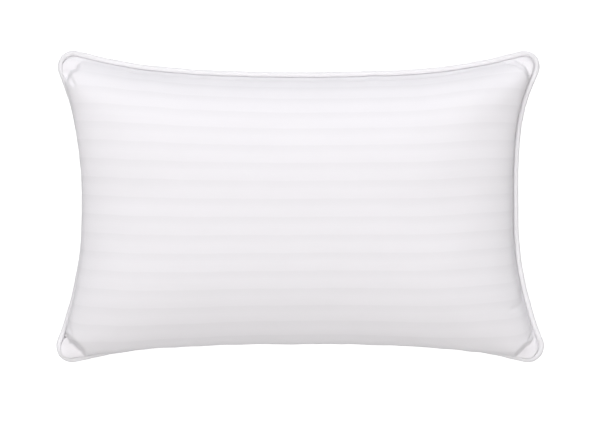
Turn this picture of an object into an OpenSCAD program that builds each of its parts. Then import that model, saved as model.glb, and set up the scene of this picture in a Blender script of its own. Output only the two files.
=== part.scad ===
// Bed pillow. Two satin-stripe panels are sewn together around a corded
// piping and filled with loose fibre. A blank care label hangs from the seam.
// The pillow lies on its back panel: +X runs along its length, +Z is up, and
// the origin is on the surface that it rests on, under its middle.

/* [Outline] */
// Length from ear to ear, piping included, in mm
corner_len = 750; // [740:1:765]
// Width from ear to ear, piping included, in mm
corner_wid = 480; // [472:1:490]
// Length between the middles of the short sides
waist_len = 672; // [660:1:684]
// Width between the middles of the long sides
waist_wid = 417; // [408:1:424]
// Outer radius of the rounded ears
ear_r = 25; // [24.5:0.5:28]
// Angle at which a long side runs into its ears, in degrees
long_flare = 14; // [12:0.5:17]
// Angle at which a short side runs into its ears, in degrees
short_flare = 22; // [19:0.5:25]

/* [Loft] */
// Height of the seam above the surface the pillow rests on
seam_h = 80; // [74:1:90]
// Rise of the front panel above the seam
front_rise = 105; // [90:1:115]
// Depth of the back panel below the seam before it is pressed flat
back_rise = 95; // [92:1:104]
// How far the fill of the front panel has settled towards one long side
belly_shift = 26; // [0:1:28]
// Drop of the seam at the ears
ear_droop = 10; // [0:1:16]
// Fullness of the loft, higher is boxier
fullness = 3; // [2.6:0.1:3.3]
// Squareness of the padded body between the ears
body_n = 6; // [5:0.5:8]
// Thickness given to the cover cloth
cloth_t = 1; // [0.8:0.1:1.2]

/* [Piping] */
// Outer radius of the piping
piping_r = 4; // [3.6:0.1:4.2]
// Wall of the tape around the filler cord
tape_t = 1; // [0.8:0.1:1.1]
// Clearance between the filler cord and the tape
cord_gap = 0.2; // [0.18:0.01:0.3]

/* [Seam] */
// Width of the turned-in seam allowance
allowance = 12; // [11:0.5:12.5]
// Thickness of each allowance and each tape flange
ply_t = 0.5; // [0.4:0.05:0.55]
// Thickness of the sewing thread
thread_t = 0.32; // [0.25:0.01:0.35]
// Spacing of the stitches that close the fill opening
closing_pitch = 6; // [5:0.5:8]

/* [Care label] */
// Where the middle of the label sits along the long side
label_x = 150; // [140:1:170]
// Width of the label
label_w = 36; // [30:1:40]
// Length that hangs below the seam
label_len = 50; // [40:1:55]
// Thickness of the folded label
label_t = 0.6; // [0.5:0.05:0.8]
// Radius of the thread that the label swings on
pivot_r = 0.5; // [0.4:0.05:0.55]
// Radial clearance of the label's hem on that thread
pivot_gap = 0.06; // [0.04:0.01:0.09]

/* [Hidden] */

// ---- outline: four concave sides and four round ears, stations counter-clockwise
n_long = 7;
n_short = 5;
n_ear = 6;
hx = waist_len / 2;
hy = waist_wid / 2;
cx = corner_len / 2 - ear_r;
cy = corner_wid / 2 - ear_r;
xe = cx - ear_r * sin(long_flare);
ye = cy + ear_r * cos(long_flare);
p_long = tan(long_flare) * xe / (ye - hy);
xs = cx + ear_r * cos(short_flare);
ys = cy - ear_r * sin(short_flare);
p_short = tan(short_flare) * ys / (xs - hx);

function long_side(x) = hy + (ye - hy) * pow(abs(x) / xe, p_long);
function short_side(y) = hx + (xs - hx) * pow(abs(y) / ys, p_short);

quarter = concat(
    [for (i = [0 : n_short]) let (y = ys * sin(90 * i / n_short)) [short_side(y), y]],
    [for (i = [1 : n_ear - 1])
        let (a = -short_flare + (90 + long_flare + short_flare) * i / n_ear)
        [cx + ear_r * cos(a), cy + ear_r * sin(a)]],
    [for (i = [n_long : -1 : 0]) let (x = xe * sin(90 * i / n_long)) [x, long_side(x)]]);
m = len(quarter);
loop = concat(quarter,
    [for (i = [m - 2 : -1 : 0]) [-quarter[i].x, quarter[i].y]],
    [for (i = [1 : m - 1]) [-quarter[i].x, -quarter[i].y]],
    [for (i = [m - 2 : -1 : 1]) [quarter[i].x, -quarter[i].y]]);
N = len(loop);

function wrap(k) = (k + 2 * N) % N;
function outward(k) =
    let (t = loop[wrap(k + 1)] - loop[wrap(k - 1)]) [t.y, -t.x] / norm(t);
normals = [for (k = [0 : N - 1]) outward(k)];

// 1 at the ears, 0 along the sides
function cornerness(p) = exp(-pow(norm([abs(p.x) - cx, abs(p.y) - cy]) / 80, 2));
corner = [for (k = [0 : N - 1]) cornerness(loop[k])];
lift = [for (k = [0 : N - 1]) seam_h - ear_droop * corner[k]];

// a point at distance n outside the seam line, and z above the seam
seam_d = 2 * piping_r + 0.15;
function at(k, n, z) =
    let (p = loop[wrap(k)] + normals[wrap(k)] * (n - seam_d))
    [p.x, p.y, lift[wrap(k)] + z];

// ---- loft: level rings of scale s between the crown (0) and the seam (1)
scales = [0.17, 0.34, 0.5, 0.63, 0.74, 0.83, 0.9, 0.95, 0.984];
function puff(s) = pow(1 - pow(s, fullness), 0.47);
// the body under the ears is a rounded rectangle: its radius over the seam's
body_k = [for (k = [0 : N - 1])
    let (e = loop[k] - normals[k] * seam_d)
    pow(pow(abs(e.x) / (hx - seam_d), body_n) + pow(abs(e.y) / (hy - seam_d), body_n),
        -1 / body_n)];
function dome(k, s, inset, rise, side, foot) =
    let (e = loop[k] - normals[k] * (seam_d + inset),
         r = s * (body_k[k] + (1 - body_k[k]) * pow(s, 18)))
    [r * e.x, r * e.y - (side > 0 ? belly_shift * (1 - pow(s, 10)) : 0),
     seam_h - (seam_h - lift[k]) * pow(s, 10)
         + side * (foot * pow(s, 12) + rise * puff(s))];
function dome_ring(s, inset, rise, side, foot, floor_z = -1000) =
    [for (k = [0 : N - 1]) let (p = dome(k, s, inset, rise, side, foot))
        [p.x, p.y, max(p.z, floor_z)]];
function seam_ring(n, z) = [for (k = [0 : N - 1]) at(k, n, z)];

// layers of the seam, measured from its middle plane
flange_in = 0.06;
flange_out = flange_in + ply_t;
allow_in = flange_out + 0.1;
allow_out = allow_in + ply_t;

// closed skin from one pole, over a list of rings, to the other pole; every
// panel is split along the same diagonals, so that nested skins stay parallel
module skin(first, rings, last, flip) {
    out = len(scales);
    pts = concat([first], [for (r = rings) each r], [last]);
    n = len(rings);
    end = len(pts) - 1;
    faces = concat(
        [for (k = [0 : N - 1]) [0, 1 + (k + 1) % N, 1 + k]],
        [for (j = [0 : n - 2]) for (k = [0 : N - 1])
            let (a = 1 + j * N + k, b = 1 + j * N + (k + 1) % N)
            each (j < out ? [[a, b, a + N], [b, b + N, a + N]]
                          : [[a, b, b + N], [a, b + N, a + N]])],
        [for (k = [0 : N - 1]) [end, 1 + (n - 1) * N + k, 1 + (n - 1) * N + (k + 1) % N]]);
    polyhedron(pts, flip ? [for (f = faces) [f[2], f[1], f[0]]] : faces);
}

// a profile of [n, z] points, counter-clockwise, swept right round the seam
module swept_ring(profile) {
    q = len(profile);
    pts = [for (k = [0 : N - 1]) for (p = profile) at(k, p[0], p[1])];
    polyhedron(pts, [for (k = [0 : N - 1]) for (j = [0 : q - 1])
        let (a = k * q + j, b = k * q + (j + 1) % q,
             c = ((k + 1) % N) * q + (j + 1) % q, d = ((k + 1) % N) * q + j)
        each [[a, b, c], [a, c, d]]]);
}

// the same from station k0 to station k1, with flat ends
module swept_run(profile, k0, k1) {
    q = len(profile);
    w = k1 - k0;
    pts = [for (k = [k0 : k1]) for (p = profile) at(k % N, p[0], p[1])];
    polyhedron(pts, concat(
        [for (k = [0 : w - 1]) for (j = [0 : q - 1])
            let (a = k * q + j, b = k * q + (j + 1) % q, c = b + q, d = a + q)
            each [[a, b, c], [a, c, d]]],
        [[for (j = [q - 1 : -1 : 0]) j]],
        [[for (j = [0 : q - 1]) w * q + j]]));
}

function panel_rings(side, rise, floor_out, floor_in) = concat(
    [for (s = scales) dome_ring(s, 0, rise, side, allow_in, floor_out)],
    [seam_ring(0, side * allow_in),
     seam_ring(-allowance, side * allow_in),
     seam_ring(-allowance, side * allow_out),
     seam_ring(-cloth_t, side * allow_out)],
    [for (i = [len(scales) - 1 : -1 : 0])
        dome_ring(scales[i], cloth_t, rise - cloth_t, side, allow_out, floor_in)]);

module front_cover() {
    color("white")
    skin([0, -belly_shift, seam_h + front_rise],
         panel_rings(1, front_rise, -1000, -1000),
         [0, -belly_shift, seam_h + front_rise - cloth_t], false);
}

module back_cover() {
    color("whitesmoke")
    difference() {
        skin([0, 0, -0.6],
             panel_rings(-1, back_rise, -0.6, cloth_t),
             [0, 0, cloth_t], true);
        translate([-corner_len / 2, -corner_wid / 2, -6])
            cube([corner_len, corner_wid, 6]);
    }
}

function arc(r, a0, a1, steps) =
    [for (i = [0 : steps]) let (a = a0 + (a1 - a0) * i / steps)
        [0.15 + piping_r + r * cos(a), r * sin(a)]];

module piping_tape() {
    ri = piping_r - tape_t;
    ao = asin(flange_out / piping_r);
    ai = asin(flange_in / ri);
    color("white")
    swept_ring(concat(
        [[-allowance + 0.5, -flange_out]],
        arc(piping_r, -180 + ao, 180 - ao, 10),
        [[-allowance + 0.5, flange_out], [-allowance + 0.5, flange_in]],
        arc(ri, 180 - ai, -180 + ai, 8),
        [[-allowance + 0.5, -flange_in]]));
}

module piping_cord() {
    rc = (piping_r - tape_t) * cos(180 / 8) - cord_gap;
    color("ivory")
    swept_ring([for (i = [0 : 7]) let (a = 360 * i / 8)
        [0.15 + piping_r + rc * cos(a), rc * sin(a)]]);
}

// the machine seam stops at both ends of the fill opening
bottom_mid = 3 * (m - 1);
open_a = bottom_mid - 2;
open_b = bottom_mid + 1;

module seam_thread(side) {
    z0 = side * (allow_out + 0.04);
    z1 = side * (allow_out + 0.04 + thread_t);
    swept_run([[-2.8, min(z0, z1)], [-2.3, min(z0, z1)],
               [-2.3, max(z0, z1)], [-2.8, max(z0, z1)]], open_b, N + open_a);
}

module seam_stitching() {
    color("gainsboro") {
        seam_thread(1);
        seam_thread(-1);
    }
}

module overlock_stitching() {
    zi = allow_out + 0.1;
    zo = zi + thread_t;
    color("gainsboro")
    swept_ring([[-8.5, zi], [-8.5, zo], [-allowance - 0.55, zo], [-allowance - 0.55, -zo],
                [-8.5, -zo], [-8.5, -zi], [-allowance - 0.2, -zi], [-allowance - 0.2, zi]]);
}

// a point on the straight run between two stations of the front long side
function run_y(x) =
    let (k = [for (i = [bottom_mid - 3 : bottom_mid + 3]) if (at(i, 0, 0).x <= x) i],
         a = at(k[len(k) - 1], 0, 0), b = at(k[len(k) - 1] + 1, 0, 0))
    a.y + (b.y - a.y) * (x - a.x) / (b.x - a.x);

module closing_stitches() {
    x0 = at(open_a, 0, 0).x + 4;
    x1 = at(open_b, 0, 0).x - 4;
    count = floor((x1 - x0) / closing_pitch);
    color("gainsboro")
    for (i = [0 : count])
        let (x = x0 + i * closing_pitch)
        translate([x, run_y(x), seam_h])
            translate([0, 0.9, 2.6])
                rotate([113, 0, 0]) cylinder(r = thread_t, h = 2.1, $fn = 24);
}

module fibre_fill() {
    inset = cloth_t + 1;
    tip = -allowance - 2.4;
    color("white")
    skin([0, -belly_shift, seam_h + front_rise - inset],
         concat(
             [for (i = [0 : len(scales) - 2])
                 dome_ring(scales[i], inset, front_rise - inset, 1, allow_out)],
             [seam_ring(tip, 2.6), seam_ring(tip, -2.6)],
             [for (i = [len(scales) - 2 : -1 : 0])
                 dome_ring(scales[i], inset, back_rise - inset, -1, allow_out, inset)]),
         [0, 0, inset], false);
}

// ---- care label, hanging from a thread under the piping of a long side
label_tilt = -atan(p_long * (ye - hy) / xe * pow(label_x / xe, p_long - 1));
label_y = -long_side(label_x) + seam_d - 1.5;
label_z = seam_h - piping_r - 1.7;
hem_r = pivot_r + pivot_gap + 0.6;

module label_place() {
    translate([label_x, label_y, label_z]) rotate([0, 0, label_tilt]) children();
}

module care_label() {
    color("white")
    label_place() {
        difference() {
            union() {
                rotate([0, 90, 0]) cylinder(r = hem_r, h = label_w, center = true, $fn = 48);
                translate([-label_w / 2, -label_t / 2, -label_len])
                    cube([label_w, label_t, label_len]);
            }
            rotate([0, 90, 0])
                cylinder(r = pivot_r + pivot_gap, h = label_w + 4, center = true, $fn = 48);
        }
    }
}

module label_stitches() {
    color("gainsboro")
    label_place() {
        rotate([0, 90, 0]) cylinder(r = pivot_r, h = label_w + 3.4, center = true, $fn = 48);
        for (x = [-1, 1])
            translate([x * (label_w / 2 + 1.2), 0, 0])
                cylinder(r = 0.4, h = 3.4, $fn = 24);
    }
}

front_cover();
back_cover();
piping_tape();
piping_cord();
seam_stitching();
overlock_stitching();
closing_stitches();
fibre_fill();
care_label();
label_stitches();
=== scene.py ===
import math
import time

import bpy
import numpy as np
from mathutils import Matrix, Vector


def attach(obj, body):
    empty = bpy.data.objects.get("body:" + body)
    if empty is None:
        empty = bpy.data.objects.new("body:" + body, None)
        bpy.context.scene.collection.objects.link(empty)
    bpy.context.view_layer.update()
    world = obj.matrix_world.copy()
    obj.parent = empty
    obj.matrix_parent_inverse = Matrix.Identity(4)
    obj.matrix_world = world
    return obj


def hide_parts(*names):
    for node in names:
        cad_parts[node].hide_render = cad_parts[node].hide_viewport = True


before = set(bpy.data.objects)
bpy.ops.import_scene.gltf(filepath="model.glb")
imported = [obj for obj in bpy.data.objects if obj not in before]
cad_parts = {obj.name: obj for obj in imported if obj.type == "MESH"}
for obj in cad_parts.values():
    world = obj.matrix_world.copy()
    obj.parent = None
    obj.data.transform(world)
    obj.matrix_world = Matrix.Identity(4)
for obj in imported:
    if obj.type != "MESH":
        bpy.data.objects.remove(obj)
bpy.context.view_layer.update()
T0 = time.time()

# ------------------------------------------------------------------ sizes, in metres
CORNER_LEN, CORNER_WID = 0.750, 0.480      # ear to ear, piping included
WAIST_LEN, WAIST_WID = 0.672, 0.417        # between the middles of opposite sides
EAR_R = 0.025
LONG_FLARE, SHORT_FLARE = math.radians(14), math.radians(22)
SEAM_Z = 0.080
EAR_DROOP = 0.010
PIPE_R = 0.004
PIPE_N = PIPE_R + 0.00015                  # the piping's middle, outside the stitch line
SEAM_D = 2 * PIPE_R + 0.00015              # stitch line, inside the outline
ALLOW = 0.012                              # seam allowance turned in
CLOTH_T = 0.00045
FLAT_L, FLAT_W, FLAT_R = 0.742, 0.482, 0.024   # one panel, stitch line to stitch line
STRIPE = 0.02603                            # one satin and one plain stripe, as cut
LABEL_X, LABEL_Y, LABEL_Z = 0.150, -0.204891, 0.0743
LABEL_TILT = math.radians(-3.23566)
rng = np.random.default_rng(20)


# ------------------------------------------------------------------ smooth noise helpers
def noise1(x, seed, period=None):
    """Smooth value noise of unit wavelength; period wraps it."""
    r = np.random.default_rng(seed).uniform(-1, 1, 4096)
    x = np.asarray(x, float)
    i = np.floor(x).astype(int)
    f = x - i
    f = f * f * f * (f * (f * 6 - 15) + 10)
    if period:
        a, b = r[i % period], r[(i + 1) % period]
    else:
        a, b = r[i % 4096], r[(i + 1) % 4096]
    return a * (1 - f) + b * f


def noise2(x, y, seed):
    """Smooth value noise on the plane, unit wavelength."""
    r = np.random.default_rng(seed).uniform(-1, 1, (256, 256))
    x, y = np.asarray(x, float), np.asarray(y, float)
    i, j = np.floor(x).astype(int), np.floor(y).astype(int)
    f, g = x - i, y - j
    f = f * f * f * (f * (f * 6 - 15) + 10)
    g = g * g * g * (g * (g * 6 - 15) + 10)
    a, b = r[i % 256, j % 256], r[(i + 1) % 256, j % 256]
    c, d = r[i % 256, (j + 1) % 256], r[(i + 1) % 256, (j + 1) % 256]
    return (a * (1 - f) + b * f) * (1 - g) + (c * (1 - f) + d * f) * g


def smoothstep(a, b, x):
    t = np.clip((x - a) / (b - a), 0, 1)
    return t * t * (3 - 2 * t)


# ------------------------------------------------------------------ the outline and the seam
def outline_quarter(n=500):
    hx, hy = WAIST_LEN / 2, WAIST_WID / 2
    cx, cy = CORNER_LEN / 2 - EAR_R, CORNER_WID / 2 - EAR_R
    xe, ye = cx - EAR_R * math.sin(LONG_FLARE), cy + EAR_R * math.cos(LONG_FLARE)
    pl = math.tan(LONG_FLARE) * xe / (ye - hy)
    xs, ys = cx + EAR_R * math.cos(SHORT_FLARE), cy - EAR_R * math.sin(SHORT_FLARE)
    ps = math.tan(SHORT_FLARE) * ys / (xs - hx)
    y = np.linspace(0, ys, n)
    side = np.stack([hx + (xs - hx) * (y / ys) ** ps, y], 1)
    a = np.linspace(-SHORT_FLARE, math.pi / 2 + LONG_FLARE, n)[1:-1]
    ear = np.stack([cx + EAR_R * np.cos(a), cy + EAR_R * np.sin(a)], 1)
    x = np.linspace(xe, 0, n)
    return np.concatenate([side, ear, np.stack([x, hy + (ye - hy) * (x / xe) ** pl], 1)])


def flat_quarter(n=500):
    hx, hy, r = FLAT_L / 2, FLAT_W / 2, FLAT_R
    y = np.linspace(0, hy - r, n)
    a = np.linspace(0, math.pi / 2, n)[1:-1]
    x = np.linspace(hx - r, 0, n)
    return np.concatenate([
        np.stack([np.full(n, hx), y], 1),
        np.stack([hx - r + r * np.cos(a), hy - r + r * np.sin(a)], 1),
        np.stack([x, np.full(n, hy)], 1)])


def inward(p, d):
    t = np.gradient(p, axis=0)
    t /= np.linalg.norm(t, axis=1)[:, None]
    n = np.stack([t[:, 1], -t[:, 0]], 1)
    n[0], n[-1] = (1, 0), (0, 1)
    return p - n * d


def share(p):
    s = np.concatenate([[0], np.cumsum(np.linalg.norm(np.diff(p, axis=0), axis=1))])
    return s / s[-1], s[-1]


QUART = inward(outline_quarter(), SEAM_D)
QUART_S, QUART_LEN = share(QUART)
FLATQ = flat_quarter()
FLATQ_S, FLATQ_LEN = share(FLATQ)
SEAM_LEN = 4 * QUART_LEN


def seam_xy(t):
    """The stitch line at t quarters counter-clockwise from +X; seam_frame adds the slight taper and waver of a sewn
    edge.
    """
    t = np.mod(np.asarray(t, float), 4)
    q = np.floor(t).astype(int) % 4
    f = t - np.floor(t)
    g = np.where(q % 2 == 0, f, 1 - f)
    x, y = np.interp(g, QUART_S, QUART[:, 0]), np.interp(g, QUART_S, QUART[:, 1])
    x = np.where((q == 1) | (q == 2), -x, x)
    y = np.where(q >= 2, -y, y)
    return np.stack([x, y], -1)


def seam_frame(t):
    """Place (x, y, z) and outward normal of the stitch line."""
    e = 1e-3
    p = seam_xy(t)
    d = seam_xy(np.asarray(t) + e) - seam_xy(np.asarray(t) - e)
    d /= np.linalg.norm(d, axis=-1)[..., None]
    n = np.stack([d[..., 1], -d[..., 0]], -1)
    k = np.asarray(t, float) * 11
    waver = 0.0005 * noise1(k, 5, 44) + 0.0003 * noise1(k * 3, 6, 132)
    ears = np.exp(-(np.hypot(np.abs(p[..., 0]) - 0.350, np.abs(p[..., 1]) - 0.215) / 0.08) ** 2)
    calm = 1 - np.exp(-((p[..., 0] - LABEL_X) / 0.045) ** 2) * (p[..., 1] < 0)     # level where the label is sewn
    z = SEAM_Z - EAR_DROOP * ears + calm * (0.0011 * noise1(k * 0.5, 8, 22) + 0.0005 * noise1(k * 2, 9, 88))
    p = p + n * (waver * calm)[..., None]
    p[..., 0] *= 1 - 0.004 * p[..., 1] / 0.232
    p[..., 1] -= 0.0016 * (p[..., 1] > 0) * (1 - smoothstep(0.24, 0.33, np.abs(p[..., 0])))
    # the +X end is drawn in a little more below its upper ear
    p[..., 0] -= 0.0062 * smoothstep(0.28, 0.33, p[..., 0]) * np.exp(-((p[..., 1] - 0.150) / 0.080) ** 2) * smoothstep(0.0, 0.06, p[..., 1])
    return np.concatenate([p, z[..., None]], -1), n


# ------------------------------------------------------------------ cloth: two flat panels, sewn and filled
def flat_grid(nx, ny, gx=None, gy=None):
    """Grid over the cut panel, its square corners bent round to the ear radius."""
    gx = np.linspace(-1, 1, nx + 1) if gx is None else gx
    gy = np.linspace(-1, 1, ny + 1) if gy is None else gy
    X, Y = np.meshgrid(gx * FLAT_L / 2, gy * FLAT_W / 2, indexing="ij")
    u = np.clip((np.abs(X) - (FLAT_L / 2 - FLAT_R)) / FLAT_R, 0, 1)
    v = np.clip((np.abs(Y) - (FLAT_W / 2 - FLAT_R)) / FLAT_R, 0, 1)
    inn = (u > 0) & (v > 0)
    ax = np.where(inn, FLAT_L / 2 - FLAT_R + FLAT_R * u * np.sqrt(1 - v * v / 2), np.abs(X))
    ay = np.where(inn, FLAT_W / 2 - FLAT_R + FLAT_R * v * np.sqrt(1 - u * u / 2), np.abs(Y))
    return np.sign(X) * ax, np.sign(Y) * ay


def edge_turn(x, y):
    """Quarter-turn count round the seam of a point on the cut panel's edge."""
    ax, ay = np.abs(x), np.abs(y)
    d = np.hypot(FLATQ[None, :, 0] - ax[:, None], FLATQ[None, :, 1] - ay[:, None])
    g = FLATQ_S[np.argmin(d, axis=1)]
    q = np.where(x >= 0, np.where(y >= 0, 0, 3), np.where(y >= 0, 1, 2))
    f = np.where(q % 2 == 0, g, 1 - g)
    return q + f


def rim(nx, ny):
    """Grid indices round the edge, counter-clockwise from the +X, -Y corner."""
    out = [(nx, j) for j in range(0, ny)] + [(i, ny) for i in range(nx, 0, -1)]
    return out + [(0, j) for j in range(ny, 0, -1)] + [(i, 0) for i in range(0, nx)]


def start_shape(nx, ny, FX, FY):
    R = rim(nx, ny)
    ii, jj = np.array(R).T
    place, _ = seam_frame(edge_turn(FX[ii, jj], FY[ii, jj]))
    E = np.zeros((nx + 1, ny + 1, 3))
    E[ii, jj] = place
    u = np.linspace(0, 1, nx + 1)[:, None, None]
    v = np.linspace(0, 1, ny + 1)[None, :, None]
    I = ((1 - u) * E[:1] + u * E[-1:] + (1 - v) * E[:, :1] + v * E[:, -1:]
         - ((1 - u) * (1 - v) * E[0, 0] + u * (1 - v) * E[-1, 0] + (1 - u) * v * E[0, -1] + u * v * E[-1, -1]))
    I[ii, jj] = place
    un, vn = 2 * u[..., 0] - 1, 2 * v[..., 0] - 1
    H = (1 - np.abs(un) ** 3) ** 0.55 * (1 - np.abs(vn) ** 3) ** 0.55
    return I, H, R


def inflate(nx, ny, frames):
    """Cloth simulation of the filled cover. Returns the front and the back panel as grids of points."""
    FX, FY = flat_grid(nx, ny)
    I, H, R = start_shape(nx, ny, FX, FY)
    edge = set(R)
    verts, flat, idx = [], [], {}
    for side in (1, -1):
        for i in range(nx + 1):
            for j in range(ny + 1):
                if (i, j) in edge and side < 0:
                    idx[side, i, j] = idx[1, i, j]
                    continue
                idx[side, i, j] = len(verts)
                x, y, z = I[i, j]
                if (i, j) not in edge:
                    z += side * (0.095 if side > 0 else 0.070) * H[i, j]
                    z += 0.0006 * float(noise2(FX[i, j] * 40, FY[i, j] * 40, 3 + side))
                verts.append((x, y, z))
                flat.append((FX[i, j], FY[i, j], 0.0))
    faces = []
    for side in (1, -1):
        for i in range(nx):
            for j in range(ny):
                f = [idx[side, i, j], idx[side, i + 1, j], idx[side, i + 1, j + 1], idx[side, i, j + 1]]
                faces.append(f if side > 0 else f[::-1])
    me = bpy.data.meshes.new("sim")
    me.from_pydata(verts, [], faces)
    ob = bpy.data.objects.new("sim", me)
    sc = bpy.context.scene
    sc.collection.objects.link(ob)
    ob.shape_key_add(name="Basis")
    key = ob.shape_key_add(name="cut")
    key.data.foreach_set("co", np.array(flat, np.float32).ravel())
    key.value = 0
    group = ob.vertex_groups.new(name="sewn")
    group.add([idx[1, i, j] for i, j in R], 1.0, "REPLACE")
    fm = bpy.data.meshes.new("bench")
    fm.from_pydata([(-2, -2, 0), (2, -2, 0), (2, 2, 0), (-2, 2, 0)], [], [(0, 1, 2, 3)])
    bench = bpy.data.objects.new("bench", fm)
    sc.collection.objects.link(bench)
    bench.modifiers.new("hit", "COLLISION")
    bench.collision.thickness_outer = 0.001
    m = ob.modifiers.new("cloth", "CLOTH")
    s = m.settings
    s.quality = 6
    s.mass = 0.15 * (FLAT_L / nx / 0.008) ** 2
    s.tension_stiffness, s.compression_stiffness, s.shear_stiffness = 70, 20, 8
    s.bending_stiffness = 1.0
    s.tension_damping = s.compression_damping = 10
    s.shear_damping, s.bending_damping = 5, 0.5
    s.air_damping = 4
    s.vertex_group_mass = "sewn"
    s.use_pressure = True
    s.uniform_pressure_force = 28.0
    s.rest_shape_key = key
    s.effector_weights.gravity = 0.0
    m.collision_settings.distance_min = 0.001
    m.collision_settings.use_self_collision = False
    m.point_cache.frame_start, m.point_cache.frame_end = 1, frames
    for f in range(1, frames + 1):
        sc.frame_set(f)
    e = ob.evaluated_get(bpy.context.evaluated_depsgraph_get())
    co = np.empty(len(e.data.vertices) * 3, np.float32)
    e.data.vertices.foreach_get("co", co)
    co = co.reshape(-1, 3).astype(float)
    ob.modifiers.clear()
    sc.frame_set(1)
    bpy.data.objects.remove(bench)
    bpy.data.objects.remove(ob)
    grid = {s: np.array([[co[idx[s, i, j]] for j in range(ny + 1)] for i in range(nx + 1)]) for s in (1, -1)}
    return grid[1], grid[-1]


def spline_axis(P, t):
    """Clamped cubic spline through smoothing control rows, along the first axis; t in 0..n."""
    n = P.shape[0] - 1
    ext = np.concatenate([[2 * P[0] - P[1]], P, [2 * P[-1] - P[-2]]])
    i = np.clip(np.floor(t).astype(int), 0, n - 1)
    f = (t - i).reshape((-1,) + (1,) * (P.ndim - 1))
    b = [(1 - f) ** 3 / 6, (3 * f ** 3 - 6 * f ** 2 + 4) / 6, (-3 * f ** 3 + 3 * f ** 2 + 3 * f + 1) / 6, f ** 3 / 6]
    return sum(b[k] * ext[i + k] for k in range(4))


def resample(P, ti, tj):
    A = spline_axis(P, ti)
    return np.swapaxes(spline_axis(np.swapaxes(A, 0, 1), tj), 0, 1)


def spline_at(P, a, b):
    """The same surface at scattered positions a, b (in rows and columns of P)."""
    n, m = P.shape[0] - 1, P.shape[1] - 1
    E = np.concatenate([[2 * P[0] - P[1]], P, [2 * P[-1] - P[-2]]])
    E = np.concatenate([2 * E[:, :1] - E[:, 1:2], E, 2 * E[:, -1:] - E[:, -2:-1]], 1)
    i, j = np.clip(np.floor(a).astype(int), 0, n - 1), np.clip(np.floor(b).astype(int), 0, m - 1)
    w = []
    for f in (a - i, b - j):
        w.append([(1 - f) ** 3 / 6, (3 * f ** 3 - 6 * f ** 2 + 4) / 6, (-3 * f ** 3 + 3 * f ** 2 + 3 * f + 1) / 6, f ** 3 / 6])
    return sum((w[0][p] * w[1][q])[..., None] * E[i + p, j + q] for p in range(4) for q in range(4))


def even(G):
    """Positions in G of an evenly strained cloth: along every line of the weave, length in place follows length as cut."""
    n, m = G.shape[0] - 1, G.shape[1] - 1
    FX, FY = flat_grid(n, m)
    a, b = np.meshgrid(np.arange(n + 1.0), np.arange(m + 1.0), indexing="ij")
    for _ in range(4):
        P = spline_at(G, a, b)
        for i in range(1, n):
            s = np.concatenate([[0], np.cumsum(np.linalg.norm(np.diff(P[i], axis=0), axis=1))])
            b[i] = np.interp((FY[i] - FY[i, 0]) / (FY[i, -1] - FY[i, 0]) * s[-1], s, b[i])
        P = spline_at(G, a, b)
        for j in range(1, m):
            s = np.concatenate([[0], np.cumsum(np.linalg.norm(np.diff(P[:, j], axis=0), axis=1))])
            a[:, j] = np.interp((FX[:, j] - FX[0, j]) / (FX[-1, j] - FX[0, j]) * s[-1], s, a[:, j])
    return np.stack([a, b], -1)


def cloth_at(G, way, ti, tj):
    """Cloth surface at those rows and columns of the cut panel."""
    w = resample(way, ti, tj)
    return spline_at(G, np.clip(w[..., 0], 0, G.shape[0] - 1), np.clip(w[..., 1], 0, G.shape[1] - 1))


def normals_of(S):
    du, dv = np.gradient(S, axis=0), np.gradient(S, axis=1)
    n = np.cross(du, dv)
    return n / np.maximum(np.linalg.norm(n, axis=-1), 1e-12)[..., None]


def spaced(n, edge):
    """n+1 positions in -1..1, closer together towards the ends."""
    t = np.linspace(-1, 1, n + 1)
    return (1 - edge) * t + edge * np.sin(t * math.pi / 2)


def relax(G, times):
    """Evens out folds shorter than about 5 cm and keeps the overall shape."""
    A = G.copy()
    for _ in range(times):
        for f in (0.5, -0.53):
            L = np.zeros_like(A)
            L[1:-1, 1:-1] = (A[:-2, 1:-1] + A[2:, 1:-1] + A[1:-1, :-2] + A[1:-1, 2:]) / 4 - A[1:-1, 1:-1]
            A = A + f * L
    return A


def settle(G, side):
    """The fill is soft: the crown sits a little lower than an air bag's, and the front's fill has slid towards
    the -Y edge, where the belly hangs over the piping, and left a slope at the +Y edge."""
    n, m = G.shape[0] - 1, G.shape[1] - 1
    base = start_shape(n, m, *flat_grid(n, m))[0][..., 2]
    A = relax(G, 5)
    h = (A[..., 2] - base) * side
    u, v = np.meshgrid(np.linspace(-1, 1, n + 1), np.linspace(-1, 1, m + 1), indexing="ij")
    full = 1 - np.exp(-np.maximum(h, 0) / 0.018)
    if side > 0:
        corner = smoothstep(0.45, 0.85, np.abs(u)) * smoothstep(0.45, 0.85, np.abs(v))
        A[..., 2] = base + CROWN * h * (1 + np.where(u > 0, 0.09, 0.15) * smoothstep(0.12, 0.85, np.abs(u))) * (1 + np.where(u > 0, 0.04, 0.32) * np.abs(u) ** 6) * (1 + np.where(v > 0, np.where(u > 0, 0.24, 0.12), 0.0) * corner)
        A[..., 1] -= (SLIDE_TOP + (SLIDE_BELLY - SLIDE_TOP) * smoothstep(1.0, -1.0, v)) * (1 - 0.2 * u * u) * full
        A[..., 0] += (SIDE_BULGE - 0.016 * smoothstep(-0.3, 0.3, u)) * np.sign(u) * np.abs(u) ** 3 * full * (1 + 0.3 * smoothstep(0, 0.5, u) * smoothstep(0.1, 0.7, v))
    else:
        A[..., 0] += 0.008 * np.sign(u) * np.abs(u) ** 3 * full
        A[..., 1] += 0.008 * np.maximum(v, 0) ** 3 * full
    return A


def settle_back(B):
    """The back lies on the bench, so its fill is nearly even from edge to edge."""
    M = B[:, ::-1].copy()
    M[..., 1] *= -1
    return 0.625 * B + 0.375 * M


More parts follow.
